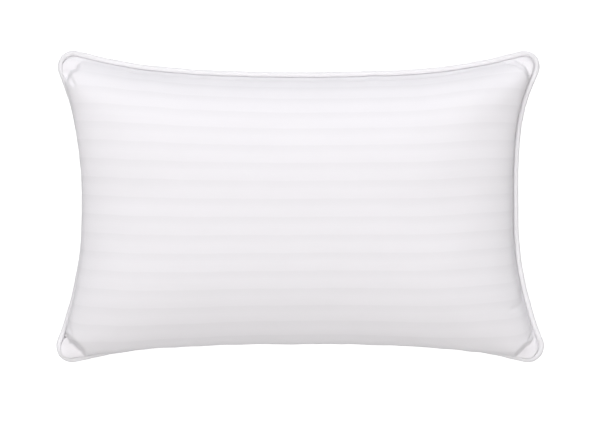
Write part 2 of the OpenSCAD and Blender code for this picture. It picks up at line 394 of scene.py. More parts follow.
CROWN = 0.885
SLIDE_TOP, SLIDE_BELLY, SIDE_BULGE = 0.005, 0.0265, 0.024
NX, NY = (100, 64)
FRONT, BACK = inflate(NX, NY, 26)
FRONT, BACK = settle(FRONT, 1), settle_back(settle(BACK, -1))
WAY = {1: even(FRONT), -1: even(BACK)}
print("inflated", round(time.time() - T0, 1), "s; z", FRONT[..., 2].max().round(4), BACK[..., 2].min().round(4))


# ------------------------------------------------------------------ materials
class Nodes:
    """A material's node tree, written as expressions."""

    def __init__(self, name):
        self.material = bpy.data.materials.new(name)
        self.material.use_nodes = True
        self.tree = self.material.node_tree
        self.tree.nodes.clear()
        self.out = self.tree.nodes.new("ShaderNodeOutputMaterial")
        self.skin = self.tree.nodes.new("ShaderNodeBsdfPrincipled")
        self.tree.links.new(self.skin.outputs["BSDF"], self.out.inputs["Surface"])

    def put(self, socket, value):
        if isinstance(value, bpy.types.NodeSocket):
            self.tree.links.new(value, socket)
        else:
            socket.default_value = value

    def node(self, kind, inputs=None, out=0, **props):
        n = self.tree.nodes.new(kind)
        for k, v in props.items():
            setattr(n, k, v)
        for k, v in (inputs or {}).items():
            self.put(n.inputs[k], v)
        return n.outputs[out]

    def math(self, op, a, b=0.0, c=0.0):
        return self.node("ShaderNodeMath", {0: a, 1: b, 2: c}, operation=op)

    def smooth(self, x, lo, hi, to_lo=0.0, to_hi=1.0):
        return self.node("ShaderNodeMapRange", {0: x, 1: lo, 2: hi, 3: to_lo, 4: to_hi}, interpolation_type="SMOOTHSTEP")

    def spread(self, x, lo, hi, to_lo=0.0, to_hi=1.0):
        return self.node("ShaderNodeMapRange", {0: x, 1: lo, 2: hi, 3: to_lo, 4: to_hi})

    def mix(self, f, a, b):
        n = self.tree.nodes.new("ShaderNodeMix")
        n.data_type = "RGBA"
        self.put(n.inputs["Factor"], f)
        self.put(n.inputs[6], a)
        self.put(n.inputs[7], b)
        return n.outputs[2]

    def noise(self, vector, scale, detail=2.0, rough=0.5):
        return self.node("ShaderNodeTexNoise", {"Vector": vector, "Scale": scale, "Detail": detail, "Roughness": rough})

    def scaled(self, vector, x, y, z=1.0):
        return self.node("ShaderNodeVectorMath", {0: vector, 1: (x, y, z)}, operation="MULTIPLY")

    def cloth(self):
        return self.node("ShaderNodeAttribute", out=1, attribute_name="cloth")

    def split(self, vector):
        n = self.tree.nodes.new("ShaderNodeSeparateXYZ")
        self.put(n.inputs[0], vector)
        return n.outputs

    def thread_wave(self, x, pitch, phase=0.0):
        """0..1 sine wave of that pitch along x."""
        return self.math("MULTIPLY_ADD", self.math("SINE", self.math("MULTIPLY_ADD", x, 2 * math.pi / pitch, phase)), 0.5, 0.5)

    def finish(self, colour, rough, height, distance, strength=1.0, sheen=0.0, sheen_rough=0.5, specular=0.5, under=0.0):
        self.put(self.skin.inputs["Base Color"], colour)
        self.put(self.skin.inputs["Roughness"], rough)
        bump = self.tree.nodes.new("ShaderNodeBump")
        self.put(bump.inputs["Height"], height)
        bump.inputs["Distance"].default_value = distance
        bump.inputs["Strength"].default_value = strength
        self.tree.links.new(bump.outputs[0], self.skin.inputs["Normal"])
        self.skin.inputs["Sheen Weight"].default_value = sheen
        self.skin.inputs["Sheen Roughness"].default_value = sheen_rough
        self.skin.inputs["Specular IOR Level"].default_value = specular
        return self.material


def rgba(r, g, b):
    return (r, g, b, 1.0)


def stripe_cloth():
    """White damask: satin and plain stripes woven in the same yarn, each about 14 mm. The satin stripes get a lighter
    base colour, which is painted sheen.
    """
    m = Nodes("stripe_cloth")
    c = m.cloth()
    x, y, _ = m.split(c)
    t = m.math("FRACT", m.math("ADD", m.math("DIVIDE", y, STRIPE), 40.0 + STRIPE_PHASE))
    # each stripe starts sharply and fades out through finer and finer satin lines
    fade = m.math("MULTIPLY", m.smooth(t, 0.0, 0.07), m.smooth(t, 0.38, 1.0, 1.0, 0.0))
    lines = m.math("MULTIPLY", m.thread_wave(t, 1 / 7), m.math("MULTIPLY", fade, m.smooth(t, 0.30, 0.55)))
    uneven = m.noise(m.scaled(c, 9, 60), 1.0, 2.0)
    satin = m.math("MULTIPLY", m.math("MULTIPLY_ADD", lines, 0.30, fade), m.spread(uneven, 0.3, 0.7, 0.72, 1.12))
    slub = m.noise(m.scaled(c, 260, 2600), 1.0, 3.0)
    warp = m.noise(m.scaled(c, 1900, 90), 1.0, 2.0)
    cloud = m.noise(c, 14.0, 2.0)
    weft_y, warp_x = m.thread_wave(y, 0.00042), m.thread_wave(x, 0.00038)
    plain = m.math("MULTIPLY", weft_y, warp_x)
    floats = m.math("MULTIPLY_ADD", m.thread_wave(m.math("MULTIPLY_ADD", x, 0.35, y), 0.00033), 0.55, 0.2)
    weave = m.node("ShaderNodeMix", {0: satin, 2: plain, 3: floats})
    height = m.math("MULTIPLY_ADD", slub, 0.5, m.math("MULTIPLY_ADD", satin, 0.6, m.math("MULTIPLY_ADD", warp, 0.3, weave)))
    tone = m.math("MULTIPLY_ADD", slub, 0.25, m.math("MULTIPLY_ADD", warp, 0.2, m.math("MULTIPLY", cloud, 0.55)))
    plain_c = m.mix(tone, rgba(*PLAIN_LO), rgba(*PLAIN_HI))
    # painted sheen: the satin stripes' base colour is lighter than the plain stripes' though the yarn is the same
    satin_sheen_c = m.mix(tone, rgba(*SATIN_SHEEN_LO), rgba(*SATIN_SHEEN_HI))
    rough = m.math("MULTIPLY_ADD", slub, 0.16, m.spread(satin, 0, 1, 0.74, 0.46))
    return m.finish(m.mix(satin, plain_c, satin_sheen_c), rough, height, 0.00012, 0.5, sheen=0.03, sheen_rough=0.45, specular=0.2)


def piping_cloth():
    """Plain-weave tape cut on the bias, so its yarns run at 45 degrees to the piping."""
    m = Nodes("piping_cloth")
    c = m.cloth()
    x, y, _ = m.split(c)
    a = m.math("MULTIPLY", m.math("ADD", x, y), 0.7071)
    b = m.math("MULTIPLY", m.math("SUBTRACT", x, y), 0.7071)
    weave = m.math("MULTIPLY", m.thread_wave(a, 0.00040), m.thread_wave(b, 0.00040))
    yarn = m.noise(m.node("ShaderNodeCombineXYZ", {0: m.math("MULTIPLY", a, 300.0), 1: m.math("MULTIPLY", b, 2200.0)}), 1.0, 2.0)
    cloud = m.noise(c, 60.0, 2.0)
    tone = m.math("MULTIPLY_ADD", yarn, 0.5, m.math("MULTIPLY", cloud, 0.5))
    return m.finish(m.mix(tone, rgba(*PIPE_LO), rgba(*PIPE_HI)),
                    m.spread(yarn, 0, 1, 0.50, 0.72), m.math("MULTIPLY_ADD", yarn, 0.5, weave), 0.00012, 0.6,
                    sheen=0.03, sheen_rough=0.4, specular=0.25)


def filler_cord():
    """Soft spun cotton, three strands."""
    m = Nodes("filler_cord")
    c = m.cloth()
    fibres = m.noise(m.scaled(c, 500, 5000), 1.0, 4.0, 0.6)
    lint = m.noise(c, 900.0, 3.0)
    return m.finish(m.mix(fibres, rgba(0.66, 0.63, 0.56), rgba(0.82, 0.80, 0.74)),
                    m.spread(lint, 0, 1, 0.80, 0.98), m.math("ADD", fibres, lint), 0.0003, 0.8, sheen=0.3, specular=0.2)


def sewing_thread():
    """Three-ply polyester thread, its plies showing as slanting ridges, with painted shade darkening its colour in the
    grooves between the plies.
    """
    m = Nodes("sewing_thread")
    c = m.cloth()
    x, y, _ = m.split(c)
    ply = m.thread_wave(m.math("MULTIPLY_ADD", y, 0.6, x), 0.00045)
    fuzz = m.noise(m.scaled(c, 1500, 6000), 1.0, 2.0)
    # painted shade: the ply wave darkens the colour in the grooves between plies
    return m.finish(m.mix(m.math("MULTIPLY_ADD", ply, 0.6, m.math("MULTIPLY", fuzz, 0.4)), rgba(0.70, 0.69, 0.70), rgba(0.86, 0.85, 0.86)),
                    m.spread(fuzz, 0, 1, 0.34, 0.56), m.math("MULTIPLY_ADD", fuzz, 0.3, ply), 0.00008, 0.8, sheen=0.15, specular=0.5)


def down_fibre():
    """Siliconised polyester fibre: soft tufts of fine crossing hairs."""
    m = Nodes("fibre")
    p = m.node("ShaderNodeTexCoord", out=3)
    tufts = m.noise(p, 55.0, 3.0, 0.55)
    hairs = m.noise(m.scaled(p, 900, 260, 700), 1.0, 4.0, 0.7)
    cross = m.noise(m.scaled(p, 250, 950, 600), 1.0, 4.0, 0.7)
    h = m.math("MULTIPLY_ADD", tufts, 1.5, m.math("MAXIMUM", hairs, cross))
    return m.finish(m.mix(m.math("MULTIPLY", m.math("ADD", tufts, hairs), 0.5), rgba(0.74, 0.74, 0.75), rgba(0.90, 0.90, 0.91)),
                    m.spread(hairs, 0, 1, 0.72, 0.95), h, 0.0015, 0.7, sheen=0.4, sheen_rough=0.3, specular=0.2)


def label_cloth():
    """Blank woven satin ribbon with a fused selvedge down each side."""
    m = Nodes("label_cloth")
    c = m.cloth()
    x, y, _ = m.split(c)
    edge = m.smooth(m.math("ABSOLUTE", x), 0.0160, 0.0168)
    ribs = m.thread_wave(y, 0.00030)
    yarns = m.noise(m.scaled(c, 3200, 220), 1.0, 2.0)
    return m.finish(m.mix(m.math("MULTIPLY_ADD", edge, 0.5, m.math("MULTIPLY", yarns, 0.5)), rgba(0.80, 0.80, 0.80), rgba(0.90, 0.90, 0.89)),
                    m.math("MULTIPLY_ADD", edge, 0.25, m.spread(yarns, 0, 1, 0.28, 0.42)),
                    m.math("MULTIPLY_ADD", edge, 1.2, m.math("MULTIPLY_ADD", yarns, 0.6, ribs)), 0.00006, 0.6, sheen=0.05, specular=0.5)


# ------------------------------------------------------------------ mesh helpers
def unit(v):
    return v / np.maximum(np.linalg.norm(v, axis=-1), 1e-12)[..., None]


def point_normals(v, f):
    a, b, c, d = (v[f[:, k]] for k in range(4))
    n = np.cross(c - a, d - b)
    out = np.zeros_like(v)
    for k in range(4):
        np.add.at(out, f[:, k], n)
    return unit(out)


def thicken(v, f, t, attr):
    """Closed sheet of cloth of thickness t, half on each side of the surface."""
    n = point_normals(v, f)
    m = len(v)
    e = np.concatenate([f[:, [k, (k + 1) % 4]] for k in range(4)])
    code, back = e[:, 0] * m + e[:, 1], e[:, 1] * m + e[:, 0]
    raw = e[~np.isin(code, back)]
    wall = np.stack([raw[:, 1], raw[:, 0], raw[:, 0] + m, raw[:, 1] + m], 1)
    return (np.concatenate([v + n * t / 2, v - n * t / 2]), np.concatenate([f, f[:, ::-1] + m, wall]),
            np.concatenate([attr, attr]))


def make(name, v, f, material, attr, body, node):
    me = bpy.data.meshes.new(name)
    me.from_pydata(np.asarray(v, np.float32).tolist(), [], [list(map(int, x)) for x in f])
    me.polygons.foreach_set("use_smooth", [True] * len(me.polygons))
    at = me.attributes.new("cloth", "FLOAT_VECTOR", "POINT")
    at.data.foreach_set("vector", np.asarray(attr, np.float32).ravel())
    me.materials.append(material)
    me.update()
    ob = bpy.data.objects.new(name, me)
    bpy.context.scene.collection.objects.link(ob)
    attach(ob, body)
    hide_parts(node)
    return ob


class Heap:
    """Collects several closed bodies into one mesh."""

    def __init__(self):
        self.v, self.f, self.a, self.n = [], [], [], 0

    def add(self, v, f, a):
        self.v.append(v)
        self.f.append(np.asarray(f) + self.n)
        self.a.append(a)
        self.n += len(v)

    def all(self):
        return np.concatenate(self.v), [row for f in self.f for row in f.tolist()], np.concatenate(self.a)


def tube(path, radius, sides=6, closed=False, twist=0.0, wobble=None, s0=0.0):
    """Round body along a path, with ends rounded off if it isn't closed."""
    p = np.asarray(path, float)
    n = len(p)
    t = unit(np.roll(p, -1, 0) - np.roll(p, 1, 0)) if closed else unit(np.gradient(p, axis=0))
    up = np.zeros_like(p)
    u = np.array([0.0, 0.0, 1.0]) if abs(t[0, 2]) < 0.9 else np.array([1.0, 0.0, 0.0])
    for i in range(n):
        u = u - t[i] * np.dot(u, t[i])
        u /= np.linalg.norm(u)
        up[i] = u
    right = np.cross(t, up)
    s = np.concatenate([[0], np.cumsum(np.linalg.norm(np.diff(p, axis=0), axis=1))])
    r = np.full(n, radius) if np.isscalar(radius) else np.asarray(radius, float)
    if not closed:
        cap = np.array([0.35, 0.8])
        p = np.concatenate([[p[0] - t[0] * r[0] * 0.5], [p[0] - t[0] * r[0] * 0.25], p, [p[-1] + t[-1] * r[-1] * 0.25], [p[-1] + t[-1] * r[-1] * 0.5]])
        up = np.concatenate([up[:1], up[:1], up, up[-1:], up[-1:]])
        right = np.concatenate([right[:1], right[:1], right, right[-1:], right[-1:]])
        s = np.concatenate([s[:1], s[:1], s, s[-1:], s[-1:]])
        r = np.concatenate([r[0] * cap, r, r[-1] * cap[::-1]])
        n += 4
    a = np.arange(sides) / sides * 2 * math.pi
    ang = a[None, :] + twist * s[:, None]
    rad = r[:, None] * (1 if wobble is None else wobble(a[None, :], s[:, None]))
    v = p[:, None] + rad[..., None] * (np.cos(ang)[..., None] * right[:, None] + np.sin(ang)[..., None] * up[:, None])
    i = np.arange(n if closed else n - 1)[:, None]
    k = np.arange(sides)[None, :]
    j, l = (i + 1) % n, (k + 1) % sides
    f = np.stack([i * sides + k, i * sides + l, j * sides + l, j * sides + k], -1).reshape(-1, 4)
    attr = np.stack([np.broadcast_to(s[:, None] + s0, ang.shape), r[:, None] * a[None, :] + 0 * ang, 0 * ang], -1)
    f = [list(q) for q in f]
    if not closed:
        f.append(list(range(sides))[::-1])
        f.append([(n - 1) * sides + q for q in range(sides)])
    return v.reshape(-1, 3), f, attr.reshape(-1, 3)


class Bodies(Heap):
    def add(self, v, f, a):
        self.v.append(v)
        self.f.extend([[q + self.n for q in row] for row in f])
        self.a.append(a)
        self.n += len(v)

    def all(self):
        return np.concatenate(self.v), self.f, np.concatenate(self.a)


def along_seam(t, dn, dz):
    """Points offset from the stitch line by dn outward and dz up."""
    p, n = seam_frame(t)
    out = p.copy()
    out[..., :2] += n * np.asarray(dn)[..., None]
    out[..., 2] += dz
    return out


def turns_between(x0, x1, n):
    """Seam positions between two x on the -Y edge, left to right."""
    tt = np.linspace(2.3, 3.7, 6000)
    xx = seam_frame(tt)[0][:, 0]
    return np.interp(np.linspace(x0, x1, n), xx, tt)


# ------------------------------------------------------------------ front and back panels
def edge_distance(FX, FY):
    qx, qy = np.abs(FX) - (FLAT_L / 2 - FLAT_R), np.abs(FY) - (FLAT_W / 2 - FLAT_R)
    return FLAT_R - np.hypot(np.maximum(qx, 0), np.maximum(qy, 0)) - np.minimum(np.maximum(qx, qy), 0)


def crease(S, line, width, depth):
    """Depth of a pinched fold that runs along a line in plan, with a soft ridge on each side."""
    line = np.array(line)
    best = np.full(S.shape[:2], 1e9)
    for a, b in zip(line[:-1], line[1:]):
        d = b - a
        w = np.clip(((S[..., :2] - a) @ d) / (d @ d), 0, 1)
        best = np.minimum(best, np.linalg.norm(S[..., :2] - a - w[..., None] * d, axis=-1))
    q = (best / width) ** 2
    return -depth * (1 - 0.9 * q) * np.exp(-q)


# folds that the photo shows beside the ears, in plan
CREASES = [
    ([(-0.350, 0.215), (-0.352, 0.205), (-0.351, 0.194), (-0.346, 0.186)], 0.0030, 0.0024),
    ([(-0.364, 0.199), (-0.357, 0.203)], 0.0022, 0.0012),
    ([(0.318, 0.2225), (0.333, 0.2185), (0.346, 0.211), (0.3515, 0.200), (0.352, 0.187)], 0.0032, 0.0024),
    ([(-0.364, -0.202), (-0.354, -0.206), (-0.341, -0.210)], 0.0028, 0.0024),
    ([(-0.348, -0.214), (-0.339, -0.221)], 0.0024, 0.0018),
    ([(-0.354, -0.187), (-0.350, -0.195)], 0.0024, 0.0014),
    ([(0.361, -0.187), (0.358, -0.196), (0.352, -0.205)], 0.0028, 0.0022),
    ([(0.358, -0.209), (0.346, -0.221)], 0.0026, 0.0020),
    ([(0.339, -0.132), (0.344, -0.145), (0.337, -0.153), (0.324, -0.158)], 0.0040, 0.0016),
]


def cap_ears(S, FX, FY, d, inset=0.0):
    """The tip of each ear is a small pad over the piping's turn; the body of the pillow rises behind it from a crease."""
    a, b = np.abs(S[..., 0]) - 0.342, np.abs(S[..., 1]) - 0.210
    out, along = (a + b) / math.sqrt(2), (a - b) / math.sqrt(2)
    base = np.where(FY > 0, np.where(FX > 0, 0.005, 0.006), np.where(FX > 0, 0.010, 0.007))
    base = base + 0.0022 * noise1(along / 0.011 + 5 * (FX > 0) + 9 * (FY > 0), 71) - 6.0 * along ** 2
    pad = SEAM_Z - EAR_DROOP - inset + 0.0046 * (1 - np.exp(-d / 0.0016)) + 0.0035 * (1 - np.exp(-d / 0.011))
    back = np.maximum(base - out, 0)
    rise = pad + 3.6 * back + 60 * back ** 2
    k = 0.0018
    low = -k * np.logaddexp(-S[..., 2] / k, -rise / k)
    if not inset:
        low = low - 0.0011 * np.exp(-((out - base) / 0.0021) ** 2) * smoothstep(0.002, 0.006, d)
    w = 1 - smoothstep(0.018, 0.034, np.abs(along))
    return S[..., 2] * (1 - w) + np.minimum(low, S[..., 2]) * w


def panel(side, G, nu, nv):
    """One cover panel: surface grid in place, with its cut-cloth coordinates."""
    gx, gy = spaced(nu, 0.6), spaced(nv, 0.6)
    S = cloth_at(G, WAY[side], (gx + 1) / 2 * NX, (gy + 1) / 2 * NY)
    FX, FY = flat_grid(nu, nv, gx, gy)
    d = edge_distance(FX, FY)
    dx, dy = FLAT_L / 2 - np.abs(FX), FLAT_W / 2 - np.abs(FY)
    N = normals_of(S) * side
    short = smoothstep(-0.012, 0.012, dy - dx)
    ears = np.exp(-((dx / 0.055) ** 2 + (dy / 0.055) ** 2))
    q = dx / 0.0085
    pinch = (0.6 + 0.5 * noise1(FY / 0.05, 31 + side)) * np.cos(2 * math.pi * (FY / STRIPE + STRIPE_PHASE + 0.22 + 0.10 * noise1(FY / 0.07, 33 + side)))
    D = short * 0.0011 * pinch * q * np.exp(1 - q) * (1 - ears)
    q = dy / 0.0095
    gather = 0.75 * noise1(FX / 0.0215 + 7.3, 35 + side) + 0.5 * noise1(FX / 0.011, 36 + side)
    D += (1 - short) * 0.0010 * gather * q * np.exp(1 - q) * (1 - ears)
    D += 0.0007 * noise2(FX / 0.085 + 40, FY / 0.085 + 40, 41 + side) * smoothstep(0.0, 0.06, d)
    D += 0.00022 * noise2(FX / 0.030 + 40, FY / 0.030 + 40, 43 + side) * smoothstep(0.0, 0.04, d)
    fan = np.arctan2(FLAT_W / 2 - np.abs(FY) + 0.004, FLAT_L / 2 - np.abs(FX) + 0.004)
    kind = (FX > 0) * 2 + (FY > 0)
    for k in range(4):
        D += np.where(kind == k, 0.0008 * noise1(fan * 5.5, 50 + 4 * side + k), 0) * ears * smoothstep(0.002, 0.014, d)
    if side > 0:
        tuck = smoothstep(-0.35, 0.45, noise1(FX / 0.060 + 3.1, 61)) * (FY > 0) * (1 - smoothstep(0.26, 0.34, np.abs(FX)))
        D -= 0.0011 * tuck * np.exp(-((dy - 0.0120 - 0.0015 * noise1(FX / 0.08, 62)) / 0.0034) ** 2)
        D += 0.0006 * tuck * np.exp(-((dy - 0.0190) / 0.0045) ** 2)
        for line, width, depth in CREASES:
            D += crease(S, line, width, depth) * smoothstep(0.001, 0.006, d)
    S = S + N * D[..., None]
    if side > 0:
        S[..., 2] = cap_ears(S, FX, FY, d)
    S[..., 2] += side * 0.00091 * np.exp(-(d / 0.008) ** 2)
    ii, jj = np.array(rim(nu, nv)).T
    turn = edge_turn(FX[ii, jj], FY[ii, jj])
    S[ii, jj] = along_seam(turn, 0.0, side * 0.00091)
    if side < 0:
        floor = CLOTH_T / 2 + 0.0001
        over = S[..., 2] - 0.0012 - floor
        S[..., 2] = np.where(S[..., 2] < 0.03, floor + np.where(over > 0, over, 0) + 0.0012 * smoothstep(0.004, 0.03, S[..., 2]), S[..., 2])
    return S, FX, FY, d, turn


def clear_piping(S, d):
    """Cloth near the seam lies on the piping and not in it."""
    line = along_seam(np.linspace(0, 4, 3200, endpoint=False), PIPE_N, 0.0)
    near = np.argwhere((d > 1e-6) & (d < 0.030))
    P = S[near[:, 0], near[:, 1]]
    for a in range(0, len(P), 4000):
        p = P[a:a + 4000]
        dist = ((p[:, None, 0] - line[None, :, 0]) ** 2 + (p[:, None, 1] - line[None, :, 1]) ** 2)
        c = line[np.argmin(dist, 1)]
        v = p - c
        r = np.linalg.norm(v, axis=1)
        need = PIPE_R + CLOTH_T / 2 + 0.00008
        P[a:a + 4000] = np.where((r < need)[:, None], c + v / np.maximum(r, 1e-9)[:, None] * need, p)
    S[near[:, 0], near[:, 1]] = P
    return S


def sewn_panel(side, S, FX, FY, turn):
    """Panel with its seam allowance turned in, as a closed sheet."""
    nu, nv = S.shape[0] - 1, S.shape[1] - 1
    I = np.arange((nu + 1) * (nv + 1)).reshape(nu + 1, nv + 1)
    f = np.stack([I[:-1, :-1], I[1:, :-1], I[1:, 1:], I[:-1, 1:]], -1).reshape(-1, 4)
    ii, jj = np.array(rim(nu, nv)).T
    ring = I[ii, jj]
    v, attr = [S.reshape(-1, 3)], [np.stack([FX, FY, 0 * FX], -1).reshape(-1, 3)]
    out2 = unit(np.stack([FX[ii, jj], FY[ii, jj]], 1) * np.array([[1.0, 1.0]]))
    count = I.size
    for depth, lift in ((0.0011, 0.00091), (0.0045, 0.00091), (0.0082, 0.00091), (ALLOW, 0.00091)):
        row = count + np.arange(len(ring))
        count += len(ring)
        waver = 0.0002 * noise1(turn * 60, 71 + side, 240) if depth == ALLOW else 0.0
        v.append(along_seam(turn, -depth - waver, side * lift))
        attr.append(np.concatenate([np.stack([FX[ii, jj], FY[ii, jj]], 1) + out2 * depth, np.zeros((len(ring), 1))], 1))
        f = np.concatenate([f, np.stack([np.roll(ring, -1), ring, row, np.roll(row, -1)], 1)])
        ring = row
    if side < 0:
        f = f[:, ::-1]
    return thicken(np.concatenate(v), f, CLOTH_T, np.concatenate(attr))


STRIPE_PHASE = 0.088
PLAIN_LO, PLAIN_HI = (0.744, 0.729, 0.752), (0.768, 0.753, 0.776)
# satin colours: the plain colours lightened by painted sheen
SATIN_SHEEN_LO, SATIN_SHEEN_HI = (0.770, 0.755, 0.779), (0.794, 0.779, 0.803)
PIPE_LO, PIPE_HI = (0.735, 0.726, 0.744), (0.790, 0.781, 0.799)

stripes = stripe_cloth()
for side, G, name in ((1, FRONT, "front_cover"), (-1, BACK, "back_cover")):
    S, FX, FY, d, turn = panel(side, G, 232, 150)
    S = clear_piping(S, d)
    v, f, a = sewn_panel(side, S, FX, FY, turn)
    ob = make(("front" if side > 0 else "back") + "_panel", v, f, stripes, a, "pillow", name)
    print(ob.name, len(f) * 2, "triangles; y", v[:, 1].min().round(4), v[:, 1].max().round(4), "z", v[:, 2].min().round(5), v[:, 2].max().round(4))
    if side > 0:
        FRONT_S = S
    else:
        BACK_S = S


# ------------------------------------------------------------------ piping: bias tape round a cord
def piping():
    n = 1640
    t = np.arange(n) / n * 4
    place, nrm = seam_frame(t)
    s = t * QUART_LEN
    th = 0.0005
    ro, ri = PIPE_R, PIPE_R - th
    outer = [(-0.0115, 0.00056), (-0.0075, 0.00056), (-0.0035, 0.00056), (-0.0009, 0.00058), (0.0002, 0.00078)]
    arc_o = np.radians(np.linspace(164, -164, 21))
    outer += [(PIPE_N + ro * math.cos(a), ro * math.sin(a)) for a in arc_o]
    outer += [(x, -z) for x, z in outer[4::-1]]
    inner = [(-0.0115, -0.00006), (-0.0035, -0.00006), (0.0004, -0.00010)]
    arc_i = np.radians(np.linspace(-172, 172, 13))
    inner += [(PIPE_N + ri * math.cos(a), ri * math.sin(a)) for a in arc_i]
    inner += [(0.0004, 0.00010), (-0.0035, 0.00006), (-0.0115, 0.00006)]
    prof = np.array(outer + inner)
    m, mo = len(prof), len(outer)
    around = np.concatenate([[0], np.cumsum(np.linalg.norm(np.diff(prof, axis=0), axis=1))])
    rel = prof - np.array([PIPE_N, 0])
    r = np.linalg.norm(rel, axis=1)
    on_tube = (np.arange(m) < mo) & (r < ro * 1.02)
    ang = np.arctan2(rel[:, 1], rel[:, 0])
    A, Sg = np.meshgrid(ang, s, indexing="xy")
    swell = 0.00016 * noise1(Sg / 0.009 + A * 0.8, 81, int(round(4 * QUART_LEN / 0.009)))
    swell += 0.00010 * noise1(Sg / 0.004 - A * 0.9, 82, int(round(4 * QUART_LEN / 0.004)))
    join = turns_between(-0.205, -0.205, 1)[0] * QUART_LEN
    slant = Sg - join + 0.0022 * A
    swell += 0.00030 * smoothstep(-0.0125, -0.0112, slant) * (1 - smoothstep(0.0112, 0.0125, slant))
    swell = np.where(on_tube[None, :], swell, 0) * (0.35 + 0.65 * (np.abs(A) < 2.2))
    off = prof[None] + swell[..., None] * np.stack([np.cos(A), np.sin(A)], -1)
    v = np.repeat(place[:, None], m, 1)
    v[..., :2] += nrm[:, None] * off[..., :1]
    v[..., 2] += off[..., 1]
    i, k = np.arange(n)[:, None], np.arange(m)[None, :]
    j, l = (i + 1) % n, (k + 1) % m
    f = np.stack([i * m + k, i * m + l, j * m + l, j * m + k], -1).reshape(-1, 4)
    attr = np.stack([Sg, np.broadcast_to(around, Sg.shape), 0 * Sg], -1).reshape(-1, 3)
    v = v.reshape(-1, 3)
    ob = make("piping", v, f, piping_cloth(), attr, "pillow", "piping_tape")
    print("piping", len(f) * 2, "triangles")
    return ob


def piping_core():
    n = 1300
    t = np.arange(n) / n * 4
    path = along_seam(t, np.full(n, PIPE_N), 0.0)
    turns = round(SEAM_LEN / 0.021)
    L = np.linalg.norm(np.roll(path, -1, 0) - path, axis=1).sum()
    lobes = lambda a, s: 0.90 + 0.10 * np.abs(np.cos(1.5 * a)) ** 0.7
    v, f, a = tube(path, 0.00335, 24, closed=True, twist=turns * 2 * math.pi / L, wobble=lobes)
    return make("piping_core", v, f, filler_cord(), a, "pillow", "piping_cord")


print("panels", round(time.time() - T0, 1), "s")
PIPING = piping()
CORE = piping_core()


# ------------------------------------------------------------------ threads
def turn_at(x):
    return turns_between(x, x, 1)[0]


OPEN_X0, OPEN_X1 = -0.1498, 0.0768           # fill opening in the -Y seam
STITCH = 0.0032


def seam_threads():
    """Lockstitch that holds both panels and the piping: needle thread above, bobbin thread below."""
    heap = Bodies()
    t0, t1 = turn_at(OPEN_X1), turn_at(OPEN_X0) + 4
    count = int((t1 - t0) * QUART_LEN / STITCH)
    frac = np.array([0.0, 0.07, 0.24, 0.5, 0.76, 0.93])
    for up in (1, -1):
        rise = np.array([0.35, 1.16, 1.29, 1.33, 1.29, 1.16]) * 1e-3 * up
        shift = 0.0 if up > 0 else 0.5
        s = (np.arange(count)[:, None] + frac[None, :] + shift).ravel() * STITCH
        t = t0 + s / QUART_LEN
        side = -0.00255 + 0.00009 * noise1(s / 0.0032, 91 + up)
        z = np.tile(rise, count) + up * 0.00003 * noise1(s / 0.0016, 93 + up)
        heap.add(*tube(along_seam(t, side, z), 0.00016, 6))
    v, f, a = heap.all()
    print("seam threads", len(f) * 2)
    return make("seam_threads", v, f, THREAD, a, "pillow", "seam_stitching")


def overlock():
    """Looper thread wrapped round the raw edges of the four plies."""
    pitch = 0.0027
    loop = np.array([(-8.75, 1.28, .00), (-9.7, 1.37, .08), (-11.2, 1.37, .2), (-12.2, 1.28, .3), (-12.52, 0.6, .36),
                     (-12.52, -0.6, .42), (-12.2, -1.28, .48), (-11.2, -1.37, .58), (-9.7, -1.37, .72), (-8.75, -1.28, .82),
                     (-8.55, 0.0, .91)])
    count = int(4 * QUART_LEN / pitch)
    s = ((np.arange(count)[:, None] + loop[None, :, 2]) * 4 * QUART_LEN / count).ravel()
    jitter = 0.00012 * noise1(s / pitch * 0.7, 95)
    heap = Bodies()
    heap.add(*tube(along_seam(s / QUART_LEN, np.tile(loop[:, 0], count) * 1e-3 + jitter, np.tile(loop[:, 1], count) * 1e-3), 0.00015, 5, closed=True))
    s = np.arange(int(4 * QUART_LEN / 0.0014)) * 0.0014
    for up in (1, -1):
        z = up * (0.00126 + 0.00008 * np.cos(s / STITCH * 2 * math.pi))
        heap.add(*tube(along_seam(s / QUART_LEN, np.full(len(s), -0.0104), z), 0.00014, 5))
    v, f, a = heap.all()
    print("overlock", len(f) * 2)
    return make("overlock_threads", v, f, THREAD, a, "pillow", "overlock_stitching")


